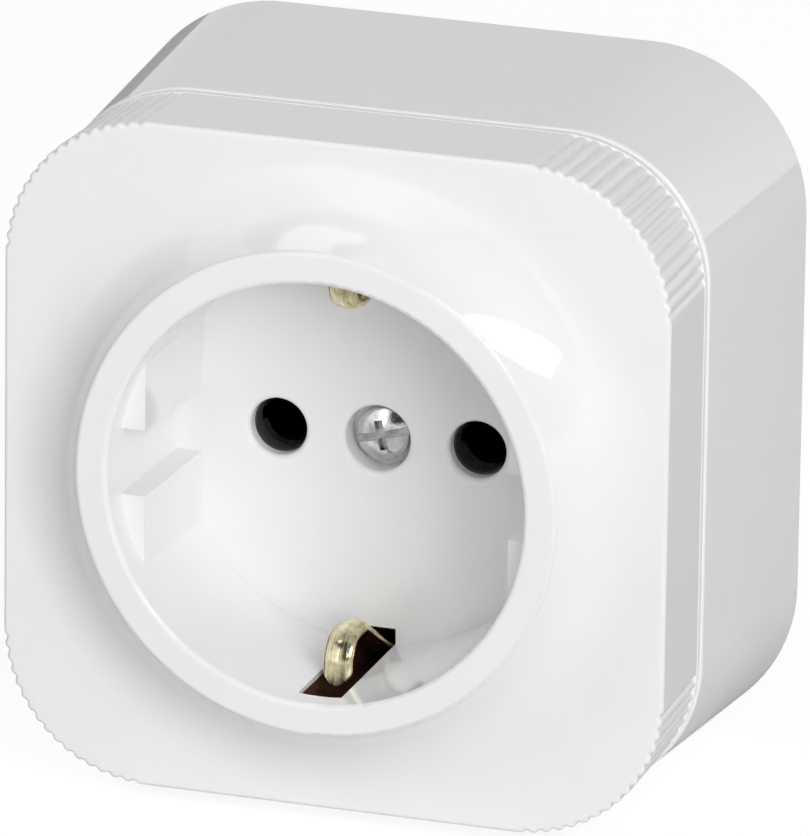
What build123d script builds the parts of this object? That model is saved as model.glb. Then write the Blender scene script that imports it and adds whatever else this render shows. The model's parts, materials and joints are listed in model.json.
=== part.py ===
"""Surface-mounted single socket: back box, screwed front cover with a round plug well, and the contact mechanism.

X runs to the right, +Y into the wall and Z up. The origin is the centre of the back face, which lies on the
wall. A height is a distance off the wall, towards the room, so it is measured along -Y.
"""

import math
import os

from build123d import *

# Back box, in millimetres.
box_width = 65.4
box_corner = 14.9
box_draft = 3.48
box_wall = 2.0
box_floor = 2.2
box_edge = 0.35

# Front cover.
cover_step = 1.35
skirt_height = 12.0
cover_corner = 13.8
cover_draft = 1.8
cover_wall = 2.3
cover_plate = 2.0
cover_edge = 0.4
rib_band = 0.7
band_step = 0.06
groove_count = 16
groove_pitch = 5.33
rib_radius = 0.6
groove_radius = 0.35
lip_depth = 2.0
lip_thickness = 1.2
lip_clearance = 0.15

# Collar and plug well.
collar_rise = 5.2
collar_width = 3.03
collar_edge = 0.45
plate_margin = 0.66
well_radius = 19.67
well_draft = 0.8
well_depth = 17.5
well_wall = 1.85
well_floor = 1.5
guide_drop = 3.4
guide_reach = 2.5
guide_draft = 1.6
guide_channel = 6.2
stiffener = 1.2
stiffener_sink = 0.3

# Plug pins and their holes.
pin_spacing = 19.0
pin_radius = 2.4
pin_length = 19.0
pin_hole_radius = 2.68
pin_hole_round = 0.6

# Cover screw.
screw_head_radius = 2.5
screw_head_height = 1.8
screw_dome = 0.6
screw_recess_radius = 3.1
screw_recess_depth = 2.85
screw_recess_wall = 1.1
screw_recess_round = 0.5
screw_seat = 1.2
screw_shank_radius = 1.5
screw_end_gap = 0.55
screw_clearance = 0.15
thread_play = 0.05
nut_radius = 2.9
nut_play = 0.02
nut_foot = 8.0
screw_turn = 14.0
drive_slot = 0.8
drive_cross = 2.8
drive_depth = 0.7

# Earth clips and their slots.
slot_width = 4.1
slot_reach = 1.82
slot_drop = 2.4
slot_skin = 0.28
clip_width = 2.7
clip_root_width = 3.6
clip_thickness = 0.42
clip_crown = 0.55
clip_inset = 0.32
clip_root = 8.5
clip_knee_drop = 4.25
clip_knee_bend = 3.0
clip_flat_end = 1.4
clip_crown_start = 5.0
clip_reach = 4.57
clip_crest_rise = 5.9
clip_crest_bend = 0.9
clip_hook_reach = 3.82
clip_hook_rise = 10.45
clip_hook_bend = 4.0
clip_tip_set = 0.78
clip_tip_rise = 10.55
clip_gap = 0.05
clip_hole_play = 0.15

# Earth bar, its terminal and its rivets.
bar_thickness = 0.8
bar_width = 6.0
bar_top = 14.0
bar_bend = 1.0
tab_set = 2.0
tab_width = 3.0
rivet_height = 11.0
rivet_radius = 0.8
rivet_head_radius = 1.4
rivet_head = 0.6
rivet_play = 0.45
earth_terminal_x = 12.0
earth_terminal_gap = 1.5
terminal_block = 7.0
terminal_rise = 9.0
wire_hole_radius = 1.6
wire_hole_rise = 3.2
block_edge = 0.4

# Contact base, the dark moulding that carries the contacts.
base_margin = 1.0
base_half_z = 14.5
base_gap = 0.1
base_shoulder_drop = 7.2
base_corner = 3.0
tower_reach = 5.1
tower_half_z = 8.6
pocket_reach = 4.1
pocket_half_z = 4.6
pocket_floor = 4.6
lug_half_x = 5.3
lug_gap = 0.825
lug_height = 12.0
cheek_gap = 0.4
guard_back = 2.2
guard_wall = 1.0
guard_half_x = 4.4
guard_gap = 0.1
guard_foot_gap = 0.4
guard_drop = 0.3
guard_slope = 3.2
guard_pocket_rise = 0.8
boss_z = 9.6
boss_radius = 3.0
boss_play = 0.3
boss_bore_foot = 1.0
base_ledge = 4.0
peg_radius = 1.1
peg_z = 6.6
retainer_thickness = 1.5
retainer_gap = 0.2
retainer_inset = 0.4
retainer_hole_radius = 2.55

# Live contacts, their springs and terminals.
sleeve_clearance = 0.05
sleeve_wall = 0.75
sleeve_drop = 0.6
sleeve_slit = 1.2
sleeve_root = 8.5
sleeve_mouth = 0.35
web_thickness = 0.8
web_half_z = 3.4
web_reach = 13.5
spring_drop = 6.6
spring_width = 4.0
spring_thickness = 0.5
spring_play = 0.06
live_terminal_reach = 10.0
live_terminal_half_x = 3.3
live_terminal_half_z = 3.8

# Small screws: terminals and base.
small_head_radius = 2.6
small_head = 1.9
small_shank_radius = 1.45
small_bore_radius = 1.5
base_screw_foot = 3.5
head_drop = 0.1
terminal_screw_length = 4.6
small_head_edge = 0.3

# Wall side of the box.
fixing_inset_x = 10.7
fixing_inset_z = 13.7
fixing_radius = 2.2
fixing_head_radius = 4.2
fixing_pad = 0.6
cable_x = -12.5
cable_inset = 11.7
cable_radius = 4.5
breakout_width = 16.0
breakout_low = 6.0
breakout_high = 18.0
breakout_groove = 0.8
breakout_skin = 0.8

# Heights: the pin length sets the well floor, and the well depth sets the height of everything above it.
web_top = pocket_floor + web_thickness
floor_height = web_top + pin_length
floor_under = floor_height - well_floor
collar_height = floor_height + well_depth
mouth_height = collar_height - collar_edge
cover_height = collar_height - collar_rise
under_plate = cover_height - cover_plate
box_height = cover_height - skirt_height
guide_height = collar_height - guide_drop
slot_top = collar_height - slot_drop
screw_seat_height = floor_height - screw_recess_depth
screw_boss_under = screw_seat_height - screw_seat
nut_top = screw_boss_under - boss_play
screw_foot = nut_foot + screw_end_gap
base_under = box_floor + bar_thickness + base_gap
base_top = floor_under - retainer_thickness - retainer_gap
base_shoulder = base_top - base_shoulder_drop
ledge_height = base_shoulder - small_head - head_drop
boss_height = ledge_height - base_ledge
sleeve_top = base_top - sleeve_drop
spring_height = sleeve_top - spring_drop
terminal_top = web_top + terminal_rise

# Widths of the shell: the box sets the cover, and the sweep fills what the collar leaves of the plate.
box_slope = math.tan(math.radians(box_draft))
box_rim_half = box_width / 2 - box_height * box_slope
box_inner_half = box_rim_half - box_wall
box_rim_corner = box_corner - (box_width / 2 - box_rim_half)
breakout_outer = box_width / 2 - breakout_high * box_slope
cover_half = box_width / 2 - cover_step
cover_inset = skirt_height * math.tan(math.radians(cover_draft))
cover_rim_half = cover_half - cover_inset + band_step
cover_rim_corner = cover_corner - cover_inset + band_step
cover_inner_half = cover_rim_half - cover_wall
cover_inner_corner = cover_rim_corner - cover_wall
lip_half = box_inner_half - lip_clearance
lip_corner = box_rim_corner - box_wall - lip_clearance
tube_radius = well_radius + well_wall
well_floor_radius = well_radius - well_depth * math.tan(math.radians(well_draft))
guide_face = well_radius - guide_reach
slot_inner = well_radius - slot_reach
collar_radius = well_radius + collar_width
sweep_rise = mouth_height - cover_height
sweep_edge = cover_half - plate_margin
sweep_run = sweep_edge - collar_radius
sweep_radius = (sweep_run**2 + sweep_rise**2) / (2 * sweep_rise)
sweep_centre = cover_height + sweep_radius
under_radius = sweep_radius + cover_plate
under_tube = sweep_centre - math.sqrt(under_radius**2 - (sweep_edge - tube_radius) ** 2)
stiffener_end = (cover_inner_half - cover_inner_corner) * math.sqrt(2) + cover_inner_corner + stiffener_sink
fixing_x = box_width / 2 - fixing_inset_x
fixing_z = box_width / 2 - fixing_inset_z
cable_z = box_width / 2 - cable_inset

# Widths of the mechanism: the pins set the live contacts, and the well wall sets the earth clips.
pin_x = pin_spacing / 2
sleeve_radius = pin_radius + sleeve_clearance
sleeve_outer = sleeve_radius + sleeve_wall
pocket_inner = pin_x - pocket_reach
tower_half_x = pin_x + tower_reach
live_terminal_x = pin_x + live_terminal_reach
web_end = pin_x + web_reach
base_half_x = web_end + base_margin
boss_places = ((-live_terminal_x, boss_z), (live_terminal_x, -boss_z))
screw_boss_radius = screw_recess_radius + screw_recess_wall
screw_dome_radius = (screw_head_radius**2 + screw_dome**2) / (2 * screw_dome)
clip_leg = tube_radius - clip_inset
clip_crest = well_radius - clip_reach
clip_hook = well_radius - clip_hook_reach
clip_tip = well_radius + clip_tip_set
clip_tip_height = floor_height + clip_tip_rise
clip_crest_height = floor_height + clip_crest_rise
clip_knee_height = floor_height - clip_knee_drop
clip_slant = math.atan2(clip_leg - clip_crest, clip_crest_height - clip_knee_height)
crown_radius = (clip_width**2 / 4 + clip_crown**2) / (2 * clip_crown)
crown_angle = math.degrees(math.asin(clip_width / 2 / (crown_radius + clip_thickness / 2)))
upright_outer = clip_leg - clip_thickness / 2 - clip_gap
upright_inner = upright_outer - bar_thickness
rivet_outer = clip_leg + clip_thickness / 2 + rivet_play
lug_reach = upright_inner - lug_gap
guard_pocket = well_radius + slot_skin
guard_inner = guard_pocket + guard_gap
guard_outer = clip_leg + guard_back + guard_wall
guard_foot = bar_top + guard_foot_gap
guard_top = slot_top - guard_drop
cheek_inner = bar_width / 2 + cheek_gap
earth_terminal_z = base_half_z + earth_terminal_gap + terminal_block / 2
tab_z = earth_terminal_z - tab_set

os.makedirs("parts", exist_ok=True)

# A radial half section: local x is the distance from the Y axis and local y the height off the wall.
section = Plane(origin=(0, 0, 0), x_dir=(1, 0, 0), z_dir=(0, 0, -1))
# The plane of the earth clips: local x is Z and local y the height off the wall.
clip_plane = Plane(origin=(0, 0, 0), x_dir=(0, 0, 1), z_dir=(1, 0, 0))


def level(height):
    """A plane parallel to the wall at a height, facing the room, with local x along X and local y along Z."""
    return Plane.XZ.offset(height)


def save(piece, name):
    """Label a finished piece and write it under its node name."""
    piece.part.label = name
    export_step(piece.part, f"parts/{name}.step")


def polar(centre, radius, degrees):
    """A point at a radius and angle from a centre."""
    angle = math.radians(degrees)
    return (centre[0] + radius * math.cos(angle), centre[1] + radius * math.sin(angle))


def ribbed_corner(centre, radius, turn):
    """Points of one ribbed corner, as arcs of start, end and radius, from the angle turn to turn + 90."""
    half_pitch = groove_pitch / 2
    rib_centre = radius - rib_radius
    reach = rib_radius + groove_radius
    side = rib_centre * math.sin(math.radians(half_pitch))
    groove_centre = rib_centre * math.cos(math.radians(half_pitch)) + math.sqrt(reach**2 - side**2)
    first = 45 - (groove_count - 1) * half_pitch
    arcs = []
    here = polar(centre, radius, turn)
    shoulder = polar(centre, radius, turn + first - half_pitch)
    arcs.append((here, shoulder, radius))
    here = shoulder
    for groove in range(groove_count):
        angle = turn + first + groove * groove_pitch
        hollow = polar(centre, groove_centre, angle)
        for sign in (-1, 1):
            rib = polar(centre, rib_centre, angle + sign * half_pitch)
            meet = (
                rib[0] + (hollow[0] - rib[0]) * rib_radius / reach,
                rib[1] + (hollow[1] - rib[1]) * rib_radius / reach,
            )
            arcs.append((here, meet, rib_radius if sign < 0 else -groove_radius))
            here = meet
    shoulder = polar(centre, radius, turn + first + (groove_count - 0.5) * groove_pitch)
    arcs.append((here, shoulder, rib_radius))
    arcs.append((shoulder, polar(centre, radius, turn + 90), radius))
    return arcs


def ribbed_outline(half, radius, height):
    """The cover's outline at a height: straight sides and corners with rounded ribs."""
    offset = half - radius
    corners = (((offset, offset), 0), ((-offset, offset), 90), ((-offset, -offset), 180), ((offset, -offset), 270))
    with BuildSketch(level(height)) as outline:
        with BuildLine():
            start = (half, offset)
            previous = (half, -offset)
            for centre, turn in corners:
                arcs = ribbed_corner(centre, radius, turn)
                Line(previous, arcs[0][0])
                for begin, end, bend in arcs:
                    RadiusArc(begin, end, -bend)
                previous = arcs[-1][1]
        make_face()
    return outline.sketch.face()


# Back box: a drafted square tray whose open rim carries the cover.
with BuildPart() as back_box:
    with BuildSketch(level(0)):
        RectangleRounded(box_width, box_width, box_corner)
    extrude(amount=box_height, taper=box_draft)
    fillet(back_box.faces().sort_by(Axis.Y)[0].edges(), box_edge)
    with BuildSketch(level(box_height)):
        RectangleRounded(2 * box_inner_half, 2 * box_inner_half, box_rim_corner - box_wall)
    extrude(amount=box_floor - box_height, taper=-box_draft, mode=Mode.SUBTRACT)
    with BuildSketch(level(box_floor)):
        with Locations(*boss_places):
            Circle(boss_radius)
    extrude(amount=boss_height - box_floor)
    with BuildSketch(level(boss_height)):
        with Locations(*boss_places):
            Circle(small_bore_radius)
    extrude(amount=boss_bore_foot - boss_height, mode=Mode.SUBTRACT)
    with BuildSketch(level(box_floor)):
        with GridLocations(2 * fixing_x, 2 * fixing_z, 2, 2):
            Circle(fixing_head_radius)
    extrude(amount=-fixing_pad, mode=Mode.SUBTRACT)
    with BuildSketch(level(0)):
        with GridLocations(2 * fixing_x, 2 * fixing_z, 2, 2):
            Circle(fixing_radius)
        with Locations((cable_x, cable_z)):
            Circle(cable_radius)
    extrude(amount=box_floor, mode=Mode.SUBTRACT)
    with BuildSketch(Plane.XY.offset(-box_inner_half + box_wall)):
        with Locations((0, -(breakout_low + breakout_high) / 2)):
            Rectangle(breakout_width, breakout_high - breakout_low)
            Rectangle(
                breakout_width - 2 * breakout_groove,
                breakout_high - breakout_low - 2 * breakout_groove,
                mode=Mode.SUBTRACT,
            )
    extrude(amount=breakout_skin - box_wall - breakout_outer + box_inner_half, mode=Mode.SUBTRACT)
save(back_box, "back_box")

# Two guide ridges, one on each side of the well, split by a channel.
with BuildPart() as guides:
    with BuildSketch(section):
        with BuildLine():
            Polyline(
                (guide_face - (guide_height - floor_under) * math.tan(math.radians(guide_draft)), floor_under),
                (guide_face, guide_height),
                (tube_radius, guide_height),
                (tube_radius, floor_under),
                close=True,
            )
        make_face()
    extrude(amount=well_radius, both=True)
    mirror(about=Plane.YZ)
    with BuildSketch(level(floor_under)):
        Circle(well_radius + well_wall / 2)
    extrude(amount=guide_height - floor_under, mode=Mode.INTERSECT)
    with BuildSketch(level(floor_under)):
        Rectangle(2 * tube_radius, guide_channel)
    extrude(amount=guide_height - floor_under, mode=Mode.SUBTRACT)

# Front cover: a square skirt with ribbed corners, swept up to a round collar around the plug well.
band_inset = cover_inset * (1 - rib_band / (cover_height - box_height))
with BuildPart() as front_cover:
    loft(
        [
            ribbed_outline(cover_half, cover_corner, cover_height),
            ribbed_outline(cover_half - band_inset, cover_corner - band_inset, box_height + rib_band),
        ],
        ruled=True,
    )
    fillet(front_cover.faces().sort_by(Axis.Y)[0].edges(), cover_edge)
    with BuildSketch(level(box_height)):
        RectangleRounded(2 * cover_rim_half, 2 * cover_rim_half, cover_rim_corner)
    extrude(amount=rib_band, taper=-cover_draft)
    with BuildSketch(section):
        with BuildLine():
            Polyline((sweep_edge, cover_height), (sweep_edge, under_plate), (0, under_plate), (0, collar_height))
            Line((0, collar_height), (collar_radius - collar_edge, collar_height))
            RadiusArc(
                (collar_radius - collar_edge, collar_height), (collar_radius, collar_height - collar_edge), collar_edge
            )
            RadiusArc((collar_radius, collar_height - collar_edge), (sweep_edge, cover_height), -sweep_radius)
        make_face()
    revolve(axis=Axis.Y)
    with BuildSketch(level(box_height)):
        RectangleRounded(2 * cover_inner_half, 2 * cover_inner_half, cover_inner_corner)
    extrude(amount=under_plate - box_height, taper=-cover_draft, mode=Mode.SUBTRACT)
    with BuildSketch(section):
        with BuildLine():
            Polyline((tube_radius, under_tube), (tube_radius, box_height), (sweep_edge, box_height))
            Line((sweep_edge, box_height), (sweep_edge, under_plate))
            RadiusArc((sweep_edge, under_plate), (tube_radius, under_tube), under_radius)
        make_face()
    revolve(axis=Axis.Y, mode=Mode.SUBTRACT)
    with BuildSketch(level(floor_under)):
        Circle(tube_radius)
    extrude(amount=collar_height - collar_edge - floor_under)
    with BuildSketch(level(box_height - lip_depth)):
        RectangleRounded(2 * lip_half, 2 * lip_half, lip_corner)
        RectangleRounded(
            2 * (lip_half - lip_thickness),
            2 * (lip_half - lip_thickness),
            lip_corner - lip_thickness,
            mode=Mode.SUBTRACT,
        )
    extrude(amount=lip_depth + cover_plate)
    with BuildSketch(level(box_height + lip_depth)):
        for turn in (45, 135, 225, 315):
            with PolarLocations((tube_radius + stiffener_end) / 2, 1, turn):
                Rectangle(stiffener_end - tube_radius + well_wall / 2, stiffener)
    extrude(amount=under_plate - box_height - lip_depth)
    with BuildSketch(section):
        with BuildLine():
            Polyline(
                (0, collar_height), (0, floor_height), (well_floor_radius, floor_height), (well_radius, mouth_height)
            )
            RadiusArc((well_radius, mouth_height), (well_radius + collar_edge, collar_height), collar_edge)
            Line((well_radius + collar_edge, collar_height), (0, collar_height))
        make_face()
    revolve(axis=Axis.Y, mode=Mode.SUBTRACT)
    add(guides.part)
    with BuildSketch(level(screw_boss_under)):
        Circle(screw_boss_radius)
    extrude(amount=floor_height - screw_boss_under)
    with BuildSketch(level(floor_height)):
        Circle(screw_recess_radius)
    extrude(amount=-screw_recess_depth, mode=Mode.SUBTRACT)
    with BuildSketch(level(screw_seat_height)):
        Circle(screw_shank_radius + screw_clearance)
    extrude(amount=-screw_seat, mode=Mode.SUBTRACT)
    with BuildSketch(level(floor_height)):
        with GridLocations(pin_spacing, 0, 2, 1):
            Circle(pin_hole_radius)
    extrude(amount=-well_floor, mode=Mode.SUBTRACT)
    with BuildSketch(level(floor_under)):
        for side in (-1, 1):
            with Locations((0, side * (slot_inner + tube_radius) / 2)):
                Rectangle(slot_width, tube_radius - slot_inner)
    extrude(amount=slot_top - floor_under, mode=Mode.SUBTRACT)
    with BuildSketch(level(floor_under)):
        for side in (-1, 1):
            with Locations((0, side * (guard_pocket + tube_radius) / 2)):
                Rectangle(2 * (guard_half_x + guard_gap), tube_radius - guard_pocket)
    extrude(amount=slot_top + guard_pocket_rise - floor_under, mode=Mode.SUBTRACT)
    floor_rims = front_cover.edges().filter_by(GeomType.CIRCLE).filter_by_position(
        Axis.Y, -floor_height - 0.01, -floor_height + 0.01
    )
    fillet(floor_rims.filter_by(lambda rim: abs(rim.radius - pin_hole_radius) < 0.01), pin_hole_round)
    fillet(floor_rims.filter_by(lambda rim: abs(rim.radius - screw_recess_radius) < 0.01), screw_recess_round)
save(front_cover, "front_cover")

# Cover screw: a domed head with a slot and a short cross slot, turned as it was left when tightened.
with BuildPart() as cover_screw:
    with BuildSketch(section):
        with BuildLine():
            Polyline(
                (0, screw_seat_height + screw_head_height),
                (0, screw_foot),
                (screw_shank_radius - block_edge, screw_foot),
                (screw_shank_radius, screw_foot + block_edge),
                (screw_shank_radius, screw_seat_height),
                (screw_head_radius, screw_seat_height),
                (screw_head_radius, screw_seat_height + screw_head_height - screw_dome),
            )
            RadiusArc(
                (screw_head_radius, screw_seat_height + screw_head_height - screw_dome),
                (0, screw_seat_height + screw_head_height),
                -screw_dome_radius,
            )
        make_face()
    revolve(axis=Axis.Y)
    with BuildSketch(level(screw_seat_height + screw_head_height)):
        Rectangle(2 * screw_head_radius, drive_slot, rotation=screw_turn)
        Rectangle(drive_slot, drive_cross, rotation=screw_turn)
    extrude(amount=-drive_depth, mode=Mode.SUBTRACT)
save(cover_screw, "cover_screw")

# Cover nut: a brass bush pressed into the contact base.
with BuildPart() as cover_nut:
    with BuildSketch(level(nut_foot)):
        Circle(nut_radius)
    extrude(amount=nut_top - nut_foot)
    chamfer(cover_nut.edges().filter_by(GeomType.CIRCLE), block_edge)
    with BuildSketch(level(nut_foot)):
        Circle(screw_shank_radius + thread_play)
    extrude(amount=nut_top - nut_foot, mode=Mode.SUBTRACT)
save(cover_nut, "cover_nut")

# Clip guards: at both ends of the base a channel rises behind the slot, so that only the clip is within reach.
with BuildPart() as guards:
    with BuildSketch(level(base_under)):
        for side in (-1, 1):
            with Locations((side * (cheek_inner + lug_half_x) / 2, (lug_reach + guard_outer) / 2)):
                Rectangle(lug_half_x - cheek_inner, guard_outer - lug_reach)
    extrude(amount=guard_foot - base_under)
    with BuildSketch(clip_plane):
        with BuildLine():
            Polyline(
                (guard_inner, guard_foot),
                (guard_inner, guard_top),
                (guard_outer, guard_top - guard_slope),
                (guard_outer, guard_foot),
                close=True,
            )
        make_face()
    extrude(amount=guard_half_x, both=True)
    with BuildSketch(level(guard_foot)):
        with Locations((0, (guard_inner + guard_outer - guard_wall) / 2)):
            Rectangle(slot_width + 2 * guard_gap, guard_outer - guard_wall - guard_inner)
    extrude(amount=guard_top - guard_foot, mode=Mode.SUBTRACT)
    mirror(about=Plane.XY)

# Contact base: one dark moulding with a pocket for each contact and a channel for each earth clip.
with BuildPart() as contact_base:
    with BuildSketch(level(base_under)):
        RectangleRounded(2 * base_half_x, 2 * base_half_z, base_corner)
    extrude(amount=base_shoulder - base_under)
    with BuildSketch(level(base_under)):
        Rectangle(2 * lug_half_x, 2 * lug_reach)
    extrude(amount=lug_height - base_under)
    add(guards.part)
    with BuildSketch(level(base_under)):
        RectangleRounded(2 * tower_half_x, 2 * tower_half_z, base_corner)
    extrude(amount=base_top - base_under)
    with BuildSketch(level(base_top)):
        with Locations((0, peg_z), (0, -peg_z)):
            Circle(peg_radius)
    extrude(amount=retainer_thickness)
    with BuildSketch(level(pocket_floor)):
        for side in (-1, 1):
            with Locations((side * (pocket_inner + base_half_x) / 2, 0)):
                Rectangle(base_half_x - pocket_inner, 2 * pocket_half_z)
    extrude(amount=base_top - pocket_floor, mode=Mode.SUBTRACT)
    with BuildSketch(level(nut_foot)):
        Circle(nut_radius + nut_play)
    extrude(amount=nut_top - nut_foot, mode=Mode.SUBTRACT)
    with BuildSketch(level(nut_top)):
        Circle(screw_boss_radius + boss_play)
    extrude(amount=base_top - nut_top, mode=Mode.SUBTRACT)
    with BuildSketch(level(base_under)):
        with Locations(*boss_places):
            Circle(boss_radius + boss_play)
    extrude(amount=boss_height - base_under, mode=Mode.SUBTRACT)
    with BuildSketch(level(boss_height)):
        with Locations(*boss_places):
            Circle(small_bore_radius + screw_clearance)
    extrude(amount=base_ledge, mode=Mode.SUBTRACT)
    with BuildSketch(level(ledge_height)):
        with Locations(*boss_places):
            Circle(small_head_radius + boss_play)
    extrude(amount=base_shoulder - ledge_height, mode=Mode.SUBTRACT)
save(contact_base, "contact_base")

# Contact retainer: a flat insulating plate over the contacts, located by two pegs of the base.
with BuildPart() as contact_retainer:
    with BuildSketch(level(base_top)):
        RectangleRounded(
            2 * (tower_half_x - retainer_inset), 2 * (tower_half_z - retainer_inset), base_corner - retainer_inset
        )
        with GridLocations(pin_spacing, 0, 2, 1):
            Circle(retainer_hole_radius, mode=Mode.SUBTRACT)
        Circle(screw_boss_radius + boss_play, mode=Mode.SUBTRACT)
        with Locations((0, peg_z), (0, -peg_z)):
            Circle(peg_radius + thread_play, mode=Mode.SUBTRACT)
    extrude(amount=retainer_thickness)
save(contact_retainer, "contact_retainer")


def small_screw(place, seat, length):
    """A small slotted cheese-head screw, its head on the seat height and its shank towards the wall."""
    with BuildPart() as screw:
        with BuildSketch(level(seat)):
            with Locations(place):
                Circle(small_head_radius)
        extrude(amount=small_head)
        chamfer(screw.faces().sort_by(Axis.Y)[0].edges(), small_head_edge)
        with BuildSketch(level(seat)):
            with Locations(place):
                Circle(small_shank_radius)
        extrude(amount=-length)
        with BuildSketch(level(seat + small_head)):
            with Locations(place):
                Rectangle(2 * small_head_radius, drive_slot)
        extrude(amount=-drive_depth, mode=Mode.SUBTRACT)
    return screw


def terminal(place, foot, half_x, half_z, across):
    """A brass terminal block with a wire hole along the across axis and a screw bore from its front."""
    wire_plane = Plane(
        origin=(place[0], -(foot + wire_hole_rise), place[1]),
        z_dir=(1, 0, 0) if across == "x" else (0, 0, 1),
    )
    with BuildPart() as block:
        with BuildSketch(level(foot)):
            with Locations(place):
                RectangleRounded(2 * half_x, 2 * half_z, block_edge)
        extrude(amount=terminal_rise)
        with BuildSketch(wire_plane):
            Circle(wire_hole_radius)
        extrude(amount=2 * max(half_x, half_z), both=True, mode=Mode.SUBTRACT)
        with BuildSketch(level(foot + terminal_rise)):
            with Locations(place):
                Circle(small_bore_radius)
        extrude(amount=wire_hole_rise - terminal_rise, mode=Mode.SUBTRACT)
    return block


# Live contacts: a split sleeve that grips the pin, standing on a web that runs out to the terminal.
for name, side in (("left", -1), ("right", 1)):
    centre = (side * pin_x, 0)
    with BuildPart() as live_contact:
        with BuildSketch(level(pocket_floor)):
            with Locations((side * (pin_x - sleeve_outer + web_end) / 2, 0)):
                RectangleRounded(web_end - pin_x + sleeve_outer, 2 * web_half_z, block_edge)
        extrude(amount=web_thickness)
        with BuildSketch(level(web_top)):
            with Locations(centre):
                Circle(sleeve_outer)
        extrude(amount=sleeve_top - web_top)
        with BuildSketch(level(pocket_floor)):
            with Locations(centre):
                Circle(sleeve_radius)
        extrude(amount=sleeve_top - pocket_floor, mode=Mode.SUBTRACT)
        mouth = live_contact.faces().sort_by(Axis.Y)[0].edges().sort_by(SortBy.RADIUS)[0]
        chamfer(mouth, sleeve_mouth)
        with BuildSketch(level(sleeve_root)):
            with Locations(centre):
                Rectangle(2 * sleeve_outer + sleeve_slit, sleeve_slit)
        extrude(amount=sleeve_top - sleeve_root, mode=Mode.SUBTRACT)
    save(live_contact, f"live_contact_{name}")

    with BuildPart() as contact_spring:
        with BuildSketch(level(spring_height)):
            with Locations(centre):
                Circle(sleeve_outer + spring_play + spring_thickness)
                Circle(sleeve_outer + spring_play, mode=Mode.SUBTRACT)
            with Locations((side * pin_x, sleeve_outer)):
                Rectangle(sleeve_slit, sleeve_outer, mode=Mode.SUBTRACT)
        extrude(amount=spring_width)
    save(contact_spring, f"contact_spring_{name}")

    place = (side * live_terminal_x, 0)
    save(terminal(place, web_top, live_terminal_half_x, live_terminal_half_z, "z"), f"terminal_{name}")
    save(small_screw(place, terminal_top, terminal_screw_length), f"terminal_screw_{name}")
    boss_place = (side * live_terminal_x, -side * boss_z)
    save(small_screw(boss_place, ledge_height, ledge_height - base_screw_foot), f"base_screw_{name}")

# Earth bar: a flat strip on the box's back wall, turned up at both ends, with a tab for its terminal.
with BuildPart() as earth_bar:
    with BuildSketch(clip_plane):
        with BuildLine():
            FilletPolyline(
                (upright_outer, bar_top),
                (upright_outer, box_floor),
                (-upright_outer, box_floor),
                (-upright_outer, bar_top),
                radius=bar_bend + bar_thickness,
            )
            FilletPolyline(
                (upright_inner, bar_top),
                (upright_inner, box_floor + bar_thickness),
                (-upright_inner, box_floor + bar_thickness),
                (-upright_inner, bar_top),
                radius=bar_bend,
            )
            Line((upright_outer, bar_top), (upright_inner, bar_top))
            Line((-upright_outer, bar_top), (-upright_inner, bar_top))
        make_face()
    extrude(amount=bar_width / 2, both=True)
    with BuildSketch(level(box_floor)):
        with Locations(((earth_terminal_x + terminal_block / 2) / 2, tab_z)):
            Rectangle(earth_terminal_x + terminal_block / 2, tab_width)
        with Locations((earth_terminal_x, earth_terminal_z)):
            Rectangle(terminal_block, terminal_block)
    extrude(amount=bar_thickness)
    with BuildSketch(Plane.XY):
        with Locations((0, -rivet_height)):
            Circle(rivet_radius + nut_play)
    extrude(amount=lug_reach + bar_width, both=True, mode=Mode.SUBTRACT)
save(earth_bar, "earth_bar")

earth_place = (earth_terminal_x, earth_terminal_z)
earth_foot = box_floor + bar_thickness
save(terminal(earth_place, earth_foot, terminal_block / 2, terminal_block / 2, "x"), "earth_terminal")
save(small_screw(earth_place, earth_foot + terminal_rise, terminal_screw_length), "earth_terminal_screw")

# Earth clips: a spring strip, flat at its riveted root and crowned from the slot to its rounded free end.


def leg_plane(distance):
    """The plane across the clip's slanted leg at a distance from the knee, with local x along X."""
    z = clip_leg - distance * math.sin(clip_slant)
    height = clip_knee_height + distance * math.cos(clip_slant)
    along = (0, -math.cos(clip_slant), -math.sin(clip_slant))
    return Plane(origin=(0, -height, z), x_dir=(1, 0, 0), z_dir=along)


with BuildSketch(leg_plane(clip_flat_end)) as flat_section:
    Rectangle(clip_root_width, clip_thickness)

with BuildSketch(leg_plane(clip_crown_start)) as crown_section:
    with BuildLine():
        middle = (0, -crown_radius)
        outer_arc = CenterArc(middle, crown_radius + clip_thickness / 2, 90 - crown_angle, 2 * crown_angle)
        inner_arc = CenterArc(middle, crown_radius - clip_thickness / 2, 90 - crown_angle, 2 * crown_angle)
        Line(outer_arc @ 0, inner_arc @ 0)
        Line(outer_arc @ 1, inner_arc @ 1)
    make_face()

with BuildLine(clip_plane) as crown_path:
    crown_start = leg_plane(clip_crown_start).origin
    FilletPolyline(
        (crown_start.Z, -crown_start.Y),
        (clip_crest, clip_crest_height),
        (clip_hook, floor_height + clip_hook_rise),
        (clip_tip, clip_tip_height),
        radius=(clip_crest_bend, clip_hook_bend),
    )

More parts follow.
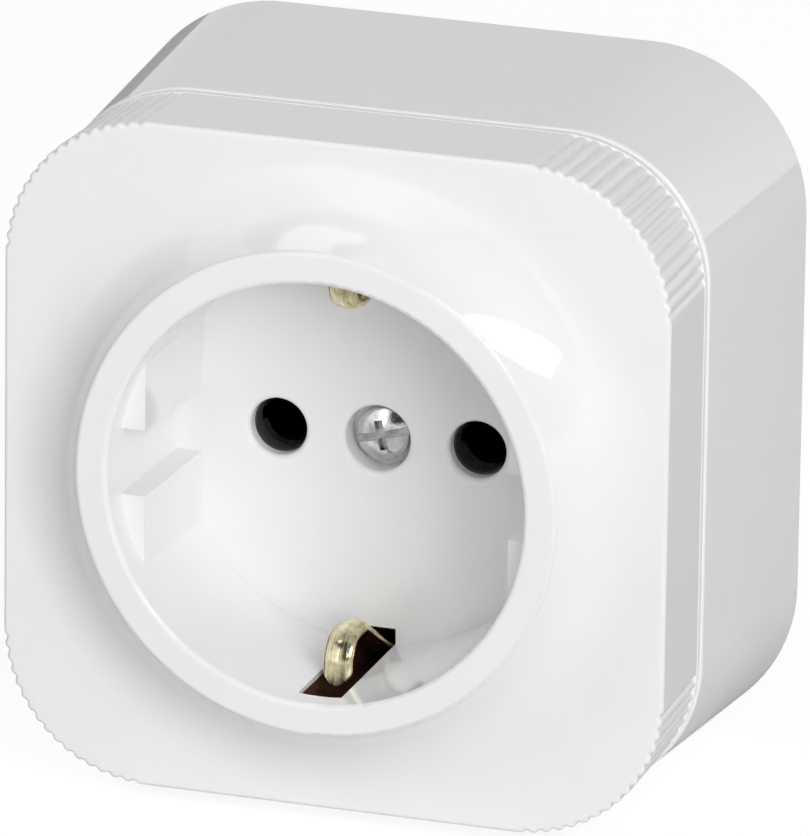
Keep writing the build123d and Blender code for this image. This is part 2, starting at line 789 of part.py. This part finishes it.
with BuildPart() as clip:
    with BuildSketch(clip_plane):
        with BuildLine():
            flat_end = leg_plane(clip_flat_end).origin
            root_middle = FilletPolyline(
                (flat_end.Z, -flat_end.Y),
                (clip_leg, clip_knee_height),
                (clip_leg, clip_root),
                radius=clip_knee_bend,
                mode=Mode.PRIVATE,
            )
            offset(root_middle, amount=clip_thickness / 2, side=Side.BOTH)
        make_face()
    extrude(amount=clip_root_width / 2, both=True)
    loft([flat_section.sketch.face(), crown_section.sketch.face()], ruled=True)
    sweep(sections=crown_section.sketch.face(), path=crown_path.line)
    with BuildSketch(level(clip_tip_height - clip_width)):
        with Locations((0, clip_tip)):
            Rectangle(2 * clip_width, clip_width)
        with Locations((0, clip_tip - clip_width / 2)):
            Circle(clip_width / 2, mode=Mode.SUBTRACT)
    extrude(amount=2 * clip_width, mode=Mode.SUBTRACT)
    with BuildSketch(Plane.XY.offset(clip_leg - clip_thickness)):
        with Locations((0, -rivet_height)):
            Circle(rivet_radius + clip_hole_play)
    extrude(amount=2 * clip_thickness, mode=Mode.SUBTRACT)

# Rivets: each holds a clip to the bar's upright, with play under the outer head for the clip to lean.
with BuildPart() as rivet:
    with BuildSketch(Plane.XY.offset(upright_inner - rivet_head)):
        with Locations((0, -rivet_height)):
            Circle(rivet_head_radius)
    extrude(amount=rivet_head)
    with BuildSketch(Plane.XY.offset(upright_inner)):
        with Locations((0, -rivet_height)):
            Circle(rivet_radius)
    extrude(amount=rivet_outer - upright_inner)
    with BuildSketch(Plane.XY.offset(rivet_outer)):
        with Locations((0, -rivet_height)):
            Circle(rivet_head_radius)
    extrude(amount=rivet_head)
    fillet(rivet.faces().sort_by(Axis.Z)[-1].edges(), rivet_head / 2)

for name in ("upper", "lower"):
    with BuildPart() as earth_clip:
        add(clip.part if name == "upper" else mirror(clip.part, about=Plane.XY, mode=Mode.PRIVATE))
    save(earth_clip, f"earth_clip_{name}")
    with BuildPart() as earth_rivet:
        add(rivet.part if name == "upper" else mirror(rivet.part, about=Plane.XY, mode=Mode.PRIVATE))
    save(earth_rivet, f"earth_rivet_{name}")
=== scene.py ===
"""Looks of the surface-mounted wall socket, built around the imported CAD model.

Lengths are in metres, apart from the earth clips' own values, which are in millimetres.
"""

import json
import math

import bmesh
import bpy
from mathutils import Matrix, Vector


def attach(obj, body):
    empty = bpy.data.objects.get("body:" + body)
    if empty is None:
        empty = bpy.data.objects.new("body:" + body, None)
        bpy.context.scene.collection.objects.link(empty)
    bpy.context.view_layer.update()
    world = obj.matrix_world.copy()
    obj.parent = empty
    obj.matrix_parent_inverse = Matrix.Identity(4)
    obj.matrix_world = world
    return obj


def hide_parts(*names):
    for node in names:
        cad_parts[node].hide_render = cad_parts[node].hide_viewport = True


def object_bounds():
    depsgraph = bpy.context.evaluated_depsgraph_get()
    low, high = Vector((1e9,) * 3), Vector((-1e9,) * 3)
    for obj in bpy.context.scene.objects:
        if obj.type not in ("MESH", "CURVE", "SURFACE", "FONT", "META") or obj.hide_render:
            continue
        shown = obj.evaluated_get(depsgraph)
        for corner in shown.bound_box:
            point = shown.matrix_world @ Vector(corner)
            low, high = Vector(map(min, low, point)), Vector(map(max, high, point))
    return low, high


MM = 0.001
NOISE_LOW, NOISE_HIGH = 0.3, 0.7

# Studio: greys of the floor and its surroundings, and places of the lamps and reflected cards.
FLOOR_SIDE = 6
FLOOR_GREY = 0.8
SEEN_FLOOR_GREY = 0.22
SEEN_FLOOR_LIFT = 0.88
AMBIENT = 0.25
LAMP_DISTANCE = 1.2
LAMP_SIDE = 0.5
LAMP_AIM = Vector((0, -0.036, 0))
CARD_CENTRE = Vector((0.01, -0.04, 0.018))
WINDOW_DISTANCE = 1.5
ROOM_DISTANCE = 1.9
ROOM_GLOW = 0.04

# Earth clips, in millimetres. A height is off the wall and a reach is off the middle of the socket.
CLIP_WIDTH = 2.7
CLIP_ROOT_WIDTH = 3.6
CLIP_THICKNESS = 0.44
CLIP_EDGE_ROUND = 0.12
CLIP_ROOT_REACH = 21.2
CLIP_ROOT_HEIGHT = 8.5
CLIP_CREST_REACH = 15.97
CLIP_STEP = 0.5
CLIP_STEPS_ACROSS = 12
BEND_STEP_DEGREES = 6
TIP_DEGREES = (0, 10, 20, 30, 40, 50, 60, 68, 75, 81)
CROWN_RISE = 0.45
CROWN_START_HEIGHT = 22.5
CROWN_FULL_HEIGHT = 26.5
RIVET_HEIGHT = 11.0
RIVET_HOLE_RADIUS = 0.95

# Camera, fitted to the photograph: degrees, metres and pixels.
CAMERA_AZIMUTH, CAMERA_ELEVATION, CAMERA_ROLL = 18.433, 18.005, 0.791
CAMERA_AIM = Vector((1.195, -20, 0.83)) * MM
CAMERA_DISTANCE = 1.13017
FOCAL_PIXELS, LONG_SIDE_PIXELS = 12478.8, 836
SENSOR_WIDTH = 36

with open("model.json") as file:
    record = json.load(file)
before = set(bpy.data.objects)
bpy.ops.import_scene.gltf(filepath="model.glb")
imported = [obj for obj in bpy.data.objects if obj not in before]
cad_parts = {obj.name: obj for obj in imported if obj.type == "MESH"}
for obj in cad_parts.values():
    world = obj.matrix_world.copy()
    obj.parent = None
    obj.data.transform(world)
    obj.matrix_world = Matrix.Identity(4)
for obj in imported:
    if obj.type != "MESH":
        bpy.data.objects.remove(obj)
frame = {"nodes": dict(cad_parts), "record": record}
nodes = frame["nodes"]
cad_low, cad_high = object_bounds()


def new_object(name, data):
    """A new object in the scene for a mesh, lamp or camera."""
    obj = bpy.data.objects.new(name, data)
    bpy.context.collection.objects.link(obj)
    return obj


def direction(azimuth, elevation):
    """A unit vector: azimuth from the front towards the right, elevation above the horizon, in degrees."""
    a, e = math.radians(azimuth), math.radians(elevation)
    return Vector((math.sin(a) * math.cos(e), -math.cos(a) * math.cos(e), math.sin(e)))


def blank_material(name):
    """A new material with an empty node tree and its output node."""
    material = bpy.data.materials.new(name)
    material.use_nodes = True
    tree = material.node_tree
    tree.nodes.clear()
    return material, tree, tree.nodes.new("ShaderNodeOutputMaterial")


def shader_node(tree, kind, grey):
    """A shader node of a plain grey."""
    node = tree.nodes.new(kind)
    node.inputs["Color"].default_value = (grey, grey, grey, 1)
    return node


def mixed(tree, factor, first, second):
    """A mix of two shaders by a factor."""
    mix = tree.nodes.new("ShaderNodeMixShader")
    tree.links.new(factor, mix.inputs["Fac"])
    tree.links.new(first, mix.inputs[1])
    tree.links.new(second, mix.inputs[2])
    return mix.outputs[0]


def principled(name):
    """A new material with its node tree, its shader and a texture coordinate in the object's own space."""
    material = bpy.data.materials.new(name)
    material.use_nodes = True
    tree = material.node_tree
    shader = tree.nodes["Principled BSDF"]
    place = tree.nodes.new("ShaderNodeTexCoord").outputs["Object"]
    return material, tree, shader, place


def noise(tree, place, size, detail=2.0, roughness=0.5, stretch=(1, 1, 1)):
    """Noise whose blobs are about size metres across, longer where stretch is above one."""
    mapping = tree.nodes.new("ShaderNodeMapping")
    mapping.inputs["Scale"].default_value = [1 / (size * s) for s in stretch]
    tree.links.new(place, mapping.inputs["Vector"])
    texture = tree.nodes.new("ShaderNodeTexNoise")
    texture.inputs["Scale"].default_value = 1.0
    texture.inputs["Detail"].default_value = detail
    texture.inputs["Roughness"].default_value = roughness
    tree.links.new(mapping.outputs["Vector"], texture.inputs["Vector"])
    return texture.outputs["Fac"]


def ramp(tree, factor, *stops):
    """A colour ramp with stops of (position, colour)."""
    node = tree.nodes.new("ShaderNodeValToRGB")
    elements = node.color_ramp.elements
    while len(elements) < len(stops):
        elements.new(0.5)
    for element, (position, colour) in zip(elements, stops):
        element.position = position
        element.color = (*colour, 1)
    tree.links.new(factor, node.inputs["Fac"])
    return node.outputs["Color"]


def spread(tree, factor, low, high):
    """Map the middle of a noise's values to a range."""
    node = tree.nodes.new("ShaderNodeMapRange")
    node.inputs["From Min"].default_value = NOISE_LOW
    node.inputs["From Max"].default_value = NOISE_HIGH
    node.inputs["To Min"].default_value = low
    node.inputs["To Max"].default_value = high
    tree.links.new(factor, node.inputs["Value"])
    return node.outputs["Result"]


def bumps(tree, shader, *layers):
    """Chain bump layers of (height, distance in metres, strength) into the shader's normal."""
    normal = None
    for height, distance, strength in layers:
        node = tree.nodes.new("ShaderNodeBump")
        node.inputs["Distance"].default_value = distance
        node.inputs["Strength"].default_value = strength
        tree.links.new(height, node.inputs["Height"])
        if normal:
            tree.links.new(normal, node.inputs["Normal"])
        normal = node.outputs["Normal"]
    tree.links.new(normal, shader.inputs["Normal"])


def white_plastic():
    """Glossy white moulding: a faint flow mottle, fine grain and the slow ripple of a polished tool."""
    material, tree, shader, place = principled("white_plastic_gloss")
    tone = noise(tree, place, 9 * MM, detail=3)
    colour = ramp(tree, tone, (0.3, (0.920, 0.921, 0.922)), (0.7, (0.934, 0.935, 0.936)))
    tree.links.new(colour, shader.inputs["Base Color"])
    grain = noise(tree, place, 0.9 * MM, detail=4, roughness=0.6)
    tree.links.new(spread(tree, grain, 0.05, 0.11), shader.inputs["Roughness"])
    shader.inputs["IOR"].default_value = 1.5
    ripple = noise(tree, place, 3.5 * MM, detail=1)
    bumps(tree, shader, (ripple, 0.012 * MM, 0.4), (grain, 0.002 * MM, 0.4))
    return material


def filled_moulding(name, deep, middle, fleck):
    """Filled moulding with short pale fibres and a dull sheen."""
    material, tree, shader, place = principled(name)
    mottle = noise(tree, place, 0.8 * MM, detail=5, roughness=0.65)
    colour = ramp(tree, mottle, (0.3, deep), (0.6, middle), (0.8, fleck))
    tree.links.new(colour, shader.inputs["Base Color"])
    grain = noise(tree, place, 0.25 * MM, detail=3)
    tree.links.new(spread(tree, grain, 0.34, 0.58), shader.inputs["Roughness"])
    bumps(tree, shader, (mottle, 0.02 * MM, 0.5), (grain, 0.006 * MM, 0.5))
    return material


def drawn_metal(name, dark, pale, roughness, stretch, lift=0.02 * MM):
    """Rolled strip: streaks along the given stretch, cloudy tarnish and small scratches."""
    material, tree, shader, place = principled(name)
    shader.inputs["Metallic"].default_value = 1.0
    cloud = noise(tree, place, 1.6 * MM, detail=4, roughness=0.6)
    lines = noise(tree, place, 0.2 * MM, detail=3, roughness=0.6, stretch=stretch)
    both = tree.nodes.new("ShaderNodeMath")
    both.operation = "ADD"
    tree.links.new(spread(tree, cloud, 0.0, 0.5), both.inputs[0])
    tree.links.new(spread(tree, lines, 0.0, 0.5), both.inputs[1])
    colour = ramp(tree, both.outputs[0], (0.15, dark), (0.75, pale))
    tree.links.new(colour, shader.inputs["Base Color"])
    tree.links.new(spread(tree, lines, *roughness), shader.inputs["Roughness"])
    pits = noise(tree, place, 0.35 * MM, detail=4, roughness=0.65)
    bumps(tree, shader, (lines, lift, 0.7), (pits, 0.4 * lift, 0.6))
    return material


def plated_steel():
    """Zinc-plated steel: bright, with painted shade in narrow recesses, and the uneven skin of barrel
    plating.
    """
    material, tree, shader, place = principled("zinc_plate")
    shader.inputs["Metallic"].default_value = 1.0
    cloud = noise(tree, place, 0.9 * MM, detail=4, roughness=0.6)
    # Painted shade: ambient occlusion darkens the plating's colour in narrow recesses.
    painted_recess_shade = tree.nodes.new("ShaderNodeAmbientOcclusion")
    painted_recess_shade.inputs["Distance"].default_value = 0.7 * MM
    tone = ramp(tree, cloud, (0.3, (0.55, 0.55, 0.56)), (0.65, (0.84, 0.84, 0.85)))
    tree.links.new(tone, painted_recess_shade.inputs["Color"])
    tree.links.new(painted_recess_shade.outputs["Color"], shader.inputs["Base Color"])
    grain = noise(tree, place, 0.3 * MM, detail=4, roughness=0.6)
    tree.links.new(spread(tree, grain, 0.08, 0.22), shader.inputs["Roughness"])
    waves = noise(tree, place, 0.7 * MM)
    bumps(tree, shader, (waves, 0.05 * MM, 0.4), (grain, 0.008 * MM, 0.5))
    return material


materials = {
    "white_plastic": white_plastic(),
    "brown_phenolic": filled_moulding(
        "brown_moulding", (0.072, 0.031, 0.020), (0.11, 0.048, 0.033), (0.15, 0.08, 0.057)
    ),
    "brass": drawn_metal("brass_strip", (0.52, 0.36, 0.14), (0.80, 0.62, 0.30), (0.22, 0.4), (1, 1, 14)),
    "earth_spring": drawn_metal(
        "pale_spring_bronze", (0.42, 0.34, 0.17), (0.94, 0.87, 0.60), (0.10, 0.30), (1, 14, 14),
        lift=0.03 * MM
    ),
    "plated_steel": plated_steel(),
}
# Painted shade: near-black contact metal, so the pin holes read dark.
painted_shade_contacts = drawn_metal(
    "painted_shade_contact_strip", (0.03, 0.029, 0.027), (0.08, 0.076, 0.07), (0.4, 0.6), (1, 1, 14)
)
# Painted shade: a near-black moulding for the contact retainer, so the pin holes read dark.
painted_shade_moulding = filled_moulding(
    "painted_shade_moulding", (0.050, 0.050, 0.050), (0.072, 0.071, 0.071), (0.10, 0.099, 0.098)
)

# The contacts and the retainer carry painted shade: near black, darker than the rest of their slots, so that
# the pin holes read black.
for entry in frame["record"]["subparts"]:
    mesh = nodes[entry["node"]].data
    mesh.materials.clear()
    if entry["node"].startswith("live_contact"):
        mesh.materials.append(painted_shade_contacts)
    elif entry["node"] == "contact_retainer":
        mesh.materials.append(painted_shade_moulding)
    else:
        mesh.materials.append(materials[entry["material_slot"]])

# The stamped head of the cover screw has soft edges.
soft = nodes["cover_screw"].modifiers.new("soft_edges", "BEVEL")
soft.width = 0.12 * MM
soft.segments = 2
soft.limit_method = "ANGLE"
soft.angle_limit = math.radians(35)


def run_of_points(start, end, step):
    """Points about a step apart from start to end, without start."""
    run = end - start
    count = max(1, round(run.length / step))
    return [start + run * i / count for i in range(1, count + 1)]


def rounded_line(corners, step):
    """Points along straight runs joined by arcs, from corners of (distance, height, bend radius)."""
    points = [Vector(corners[0][:2])]
    for before, corner, after in zip(corners, corners[1:], corners[2:]):
        here, bend = Vector(corner[:2]), corner[2]
        back_way = (Vector(before[:2]) - here).normalized()
        on_way = (Vector(after[:2]) - here).normalized()
        half = back_way.angle(on_way) / 2
        centre = here + (back_way + on_way).normalized() * bend / math.sin(half)
        arc_start = here + back_way * bend / math.tan(half)
        arc_end = here + on_way * bend / math.tan(half)
        spin = (arc_start - centre).angle_signed(arc_end - centre)
        points += run_of_points(points[-1], arc_start, step)
        turns = max(2, round(abs(spin) / math.radians(BEND_STEP_DEGREES)))
        for i in range(1, turns + 1):
            spoke = arc_start - centre
            spoke.rotate(Matrix.Rotation(-spin * i / turns, 2))
            points.append(centre + spoke)
    return points + run_of_points(points[-1], Vector(corners[-1][:2]), step)


def strip_outline(half_width):
    """A closed outline of (x, y) across a clip's strip, y up towards the plug.

    Two opposite corners are rounded. The other two are cut straight, with a thin fold lying on the cut.
    """
    corner = min(CLIP_EDGE_ROUND, half_width / 2)
    flat = half_width - corner
    top = CLIP_THICKNESS / 2
    half = [(-flat + 2 * flat * i / CLIP_STEPS_ACROSS, top) for i in range(CLIP_STEPS_ACROSS + 1)]
    for sign, turns in ((1, (30, 60, 90)), (-1, (0, 30, 60))):
        for turn in map(math.radians, turns):
            half.append((flat + corner * math.sin(turn), sign * (top - corner + corner * math.cos(turn))))
    return half + [(-x, -y) for x, y in half]


def spring_clip(name, side, set_in):
    """The mesh of one earth clip: flat at its root, full towards the plug further up, with a round end.

    set_in moves its crest towards the plug.
    """
    crest = CLIP_CREST_REACH - set_in
    line = rounded_line(
        [  # reach, height and bend radius of each corner
            (CLIP_ROOT_REACH, CLIP_ROOT_HEIGHT, 0),
            (CLIP_ROOT_REACH, 21.28, 3),
            (crest, 30.08, 1.2),
            (crest, 34.25, 2.4),
            (20.05, 34.65, 0),
        ],
        CLIP_STEP,
    )
    length = [0.0]
    for a, b in zip(line, line[1:]):
        length.append(length[-1] + (b - a).length)
    tip_radius = CLIP_WIDTH / 2
    tip_start = length[-1] - tip_radius
    stations = [(along, tip_radius) for along in length if along < tip_start]
    for turn in map(math.radians, TIP_DEGREES):
        stations.append((tip_start + tip_radius * math.sin(turn), tip_radius * math.cos(turn)))
    crown_run = CROWN_FULL_HEIGHT - CROWN_START_HEIGHT
    clip = bmesh.new()
    loops = []
    for along, half in stations:
        i = max(k for k, reached in enumerate(length[:-1]) if reached <= along + 1e-9)
        spot = line[i].lerp(line[i + 1], (along - length[i]) / (length[i + 1] - length[i]))
        way = (line[min(i + 2, len(line) - 1)] - line[max(i - 1, 0)]).normalized()
        outward = Vector((-way.y, way.x))
        grown = 1
        if along < tip_start:
            grown = min(1, max(0, (spot.y - CROWN_START_HEIGHT) / crown_run))
            grown = grown * grown * (3 - 2 * grown)
            half = (CLIP_ROOT_WIDTH + (CLIP_WIDTH - CLIP_ROOT_WIDTH) * grown) / 2
        loop = []
        for x, y in strip_outline(half):
            place = spot + outward * (y + CROWN_RISE * grown * (1 - (2 * x / CLIP_WIDTH) ** 2))
            loop.append(clip.verts.new(Vector((x, -place.y, side * place.x)) * MM))
        loops.append(loop)
    for a, b in zip(loops, loops[1:]):
        for k in range(len(a)):
            clip.faces.new((a[k - 1], a[k], b[k], b[k - 1]))
    clip.faces.new(loops[0])
    clip.faces.new(loops[-1])
    bmesh.ops.recalc_face_normals(clip, faces=clip.faces)
    mesh = bpy.data.meshes.new(name)
    clip.to_mesh(mesh)
    clip.free()
    return mesh


def drill_rivet_hole(clip, side):
    """Cut the round hole that the rivet passes through, and keep the result as the clip's mesh."""
    drill = bmesh.new()
    bmesh.ops.create_cone(
        drill,
        cap_ends=True,
        segments=32,
        radius1=RIVET_HOLE_RADIUS * MM,
        radius2=RIVET_HOLE_RADIUS * MM,
        depth=2 * MM,
        matrix=Matrix.Translation(Vector((0, -RIVET_HEIGHT, side * CLIP_ROOT_REACH)) * MM),
    )
    mesh = bpy.data.meshes.new("drill")
    drill.to_mesh(mesh)
    drill.free()
    driller = new_object("drill", mesh)
    hole = clip.modifiers.new("rivet_hole", "BOOLEAN")
    hole.operation = "DIFFERENCE"
    hole.solver = "EXACT"
    hole.object = driller
    clip.data = bpy.data.meshes.new_from_object(clip.evaluated_get(bpy.context.evaluated_depsgraph_get()))
    clip.modifiers.clear()
    bpy.data.objects.remove(driller)


# In the photo the upper clip reaches 0.6 mm further in than the lower one.
for where, side, set_in in (("upper", 1, 0.6), ("lower", -1, 0.0)):
    clip = new_object(f"clip_strip_{where}", spring_clip(f"clip_strip_{where}", side, set_in))
    drill_rivet_hole(clip, side)
    clip.data.materials.clear()
    clip.data.materials.append(materials["earth_spring"])
    clip.data.shade_smooth()
    clip.data.set_sharp_from_angle(angle=math.radians(40))
    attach(clip, f"clip_{where}")
    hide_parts(f"earth_clip_{where}")


def card(name, centre, aim, width, height):
    """A flat rectangle at a place, facing another."""
    mesh = bpy.data.meshes.new(name)
    w, h = width / 2, height / 2
    mesh.from_pydata([(-w, -h, 0), (w, -h, 0), (w, h, 0), (-w, h, 0)], [], [(0, 1, 2, 3)])
    obj = new_object(name, mesh)
    obj.location = centre
    obj.rotation_euler = (Vector(aim) - Vector(centre)).to_track_quat("Z", "Y").to_euler()
    return obj


def floor_material():
    """White floor. The camera sees it lifted towards white, so the object's shadow on it stays pale."""
    material, tree, output = blank_material("studio_floor")
    seen = tree.nodes.new("ShaderNodeLightPath").outputs["Is Camera Ray"]
    plain = shader_node(tree, "ShaderNodeBsdfDiffuse", FLOOR_GREY)
    pale = shader_node(tree, "ShaderNodeBsdfDiffuse", SEEN_FLOOR_GREY)
    lift = shader_node(tree, "ShaderNodeEmission", SEEN_FLOOR_LIFT)
    both = tree.nodes.new("ShaderNodeAddShader")
    tree.links.new(pale.outputs[0], both.inputs[0])
    tree.links.new(lift.outputs[0], both.inputs[1])
    tree.links.new(mixed(tree, seen, plain.outputs[0], both.outputs[0]), output.inputs["Surface"])
    return material


floor = card("floor", centre=(0, 0, cad_low[2]), aim=(0, 0, 1), width=FLOOR_SIDE, height=FLOOR_SIDE)
floor.data.materials.append(floor_material())

# A black cloth on the left, which the camera doesn't see.
flag = card("dark_flag", centre=(-0.5, -0.05, 0.02), aim=(0, -0.03, 0), width=0.5, height=0.6)
flag_material = bpy.data.materials.new("black_cloth")
flag_material.use_nodes = True
flag_shader = flag_material.node_tree.nodes["Principled BSDF"]
flag_shader.inputs["Base Color"].default_value = (0.02, 0.02, 0.02, 1)
flag_shader.inputs["Roughness"].default_value = 0.9
flag.data.materials.append(flag_material)
flag.visible_camera = False


def softbox(name, azimuth, elevation, radiance):
    """A square area lamp that lights the object from a direction and isn't itself reflected."""
    way = direction(azimuth, elevation)
    data = bpy.data.lights.new(name, "AREA")
    data.shape = "RECTANGLE"
    data.size = LAMP_SIDE
    data.size_y = LAMP_SIDE
    data.energy = radiance * LAMP_SIDE * LAMP_SIDE * math.pi
    level = Vector((0, 0, 1)).cross(way).normalized()
    turn = Matrix((level, way.cross(level), way)).transposed().to_4x4()
    lamp = new_object(name, data)
    lamp.matrix_world = Matrix.Translation(LAMP_AIM + way * LAMP_DISTANCE) @ turn
    lamp.visible_camera = False
    lamp.visible_glossy = False


softbox("upper_right", 45, 35, 3.9)
softbox("lower_right", 45, 10, 4.4)
softbox("front", 30, 20, 3.6)
softbox("left", -60, 35, 4.7)


def reflected_card(name, directions, faces, radiance, distance=WINDOW_DISTANCE):
    """A card that only reflections see, glowing or dark, its corners at given directions from the collar."""
    mesh = bpy.data.meshes.new(name)
    mesh.from_pydata([CARD_CENTRE + distance * Vector(d).normalized() for d in directions], [], faces)
    material, tree, output = blank_material(name)
    glow = shader_node(tree, "ShaderNodeEmission", 1)
    glow.inputs["Strength"].default_value = radiance
    tree.links.new(glow.outputs[0], output.inputs["Surface"])
    mesh.materials.append(material)
    obj = new_object(name, mesh)
    obj.visible_camera = False
    obj.visible_diffuse = False
    obj.visible_shadow = False


def sky_patch(azimuths, elevations):
    """Directions and faces of a patch of sky between lists of azimuths and elevations in degrees."""
    directions = [direction(a, e) for e in elevations for a in azimuths]
    n = len(azimuths)
    faces = [(i + j * n, i + 1 + j * n, i + 1 + (j + 1) * n, i + (j + 1) * n)
             for j in range(len(elevations) - 1) for i in range(n - 1)]
    return directions, faces


# The windows give the highlights on the collar's hollow, and the front one the streak along the lower clip.
reflected_card(
    "window_right",
    [(0.549, 0.056, 0.834), (0.612, -0.275, 0.741), (0.623, -0.585, 0.520), (0.521, -0.816, 0.251),
     (0.708, 0.102, 0.699), (0.815, -0.080, 0.560), (0.844, -0.233, 0.483), (0.802, -0.482, 0.352)],
    [(0, 1, 5, 4), (1, 2, 6, 5), (2, 3, 7, 6)],
    5.0,
)
reflected_card(
    "window_above",
    [(-0.524, 0.204, 0.827), (-0.496, -0.116, 0.861), (-0.427, -0.294, 0.855), (-0.329, -0.344, 0.879),
     (-0.218, -0.338, 0.916), (-0.100, -0.332, 0.938), (-0.110, -0.180, 0.978), (-0.237, 0.016, 0.972),
     (-0.275, 0.200, 0.940)],
    [(0, 1, 2, 3, 4, 5, 6, 7, 8)],
    2.4,
)
reflected_card("window_front", *sky_patch([-24, -9], [2, 44]), 1.7)

# The unlit room behind the lamps darkens what the collar's hollow and the metal reflect.
reflected_card(
    "room_right", *sky_patch([-2, 18, 38, 58, 78, 98, 118], [6, 26, 46, 66, 87]), ROOM_GLOW, ROOM_DISTANCE
)
reflected_card(
    "room_above", *sky_patch([-122, -98, -74, -50, -26, -2], [48, 61, 74, 87]), ROOM_GLOW, ROOM_DISTANCE
)


def studio_world():
    """A dim even light, which the camera and reflections see as a white background."""
    world = bpy.data.worlds.new("studio")
    world.use_nodes = True
    tree = world.node_tree
    tree.nodes.clear()
    output = tree.nodes.new("ShaderNodeOutputWorld")
    path = tree.nodes.new("ShaderNodeLightPath")
    shown = tree.nodes.new("ShaderNodeMath")
    shown.operation = "MAXIMUM"
    tree.links.new(path.outputs["Is Camera Ray"], shown.inputs[0])
    tree.links.new(path.outputs["Is Glossy Ray"], shown.inputs[1])
    ambient = shader_node(tree, "ShaderNodeBackground", AMBIENT)
    white = shader_node(tree, "ShaderNodeBackground", 1)
    seen = mixed(tree, shown.outputs[0], ambient.outputs[0], white.outputs[0])
    tree.links.new(seen, output.inputs["Surface"])
    return world


def fitted_camera():
    """The camera of the photograph, found by fitting its direction, roll, distance and focal length."""
    roll = math.radians(CAMERA_ROLL)
    back = direction(CAMERA_AZIMUTH, CAMERA_ELEVATION)
    right = Vector((0, 0, 1)).cross(back).normalized()
    up = back.cross(right)
    across = right * math.cos(roll) + up * math.sin(roll)
    above = up * math.cos(roll) - right * math.sin(roll)
    data = bpy.data.cameras.new("camera")
    data.sensor_width = SENSOR_WIDTH
    data.lens = FOCAL_PIXELS / LONG_SIDE_PIXELS * SENSOR_WIDTH
    data.clip_start = 0.1
    data.clip_end = 20
    camera = new_object("camera", data)
    turn = Matrix((across, above, back)).transposed().to_4x4()
    camera.matrix_world = Matrix.Translation(CAMERA_AIM + back * CAMERA_DISTANCE) @ turn
    return camera


bpy.context.scene.world = studio_world()
bpy.context.scene.camera = fitted_camera()
bpy.context.scene.view_settings.view_transform = "Standard"
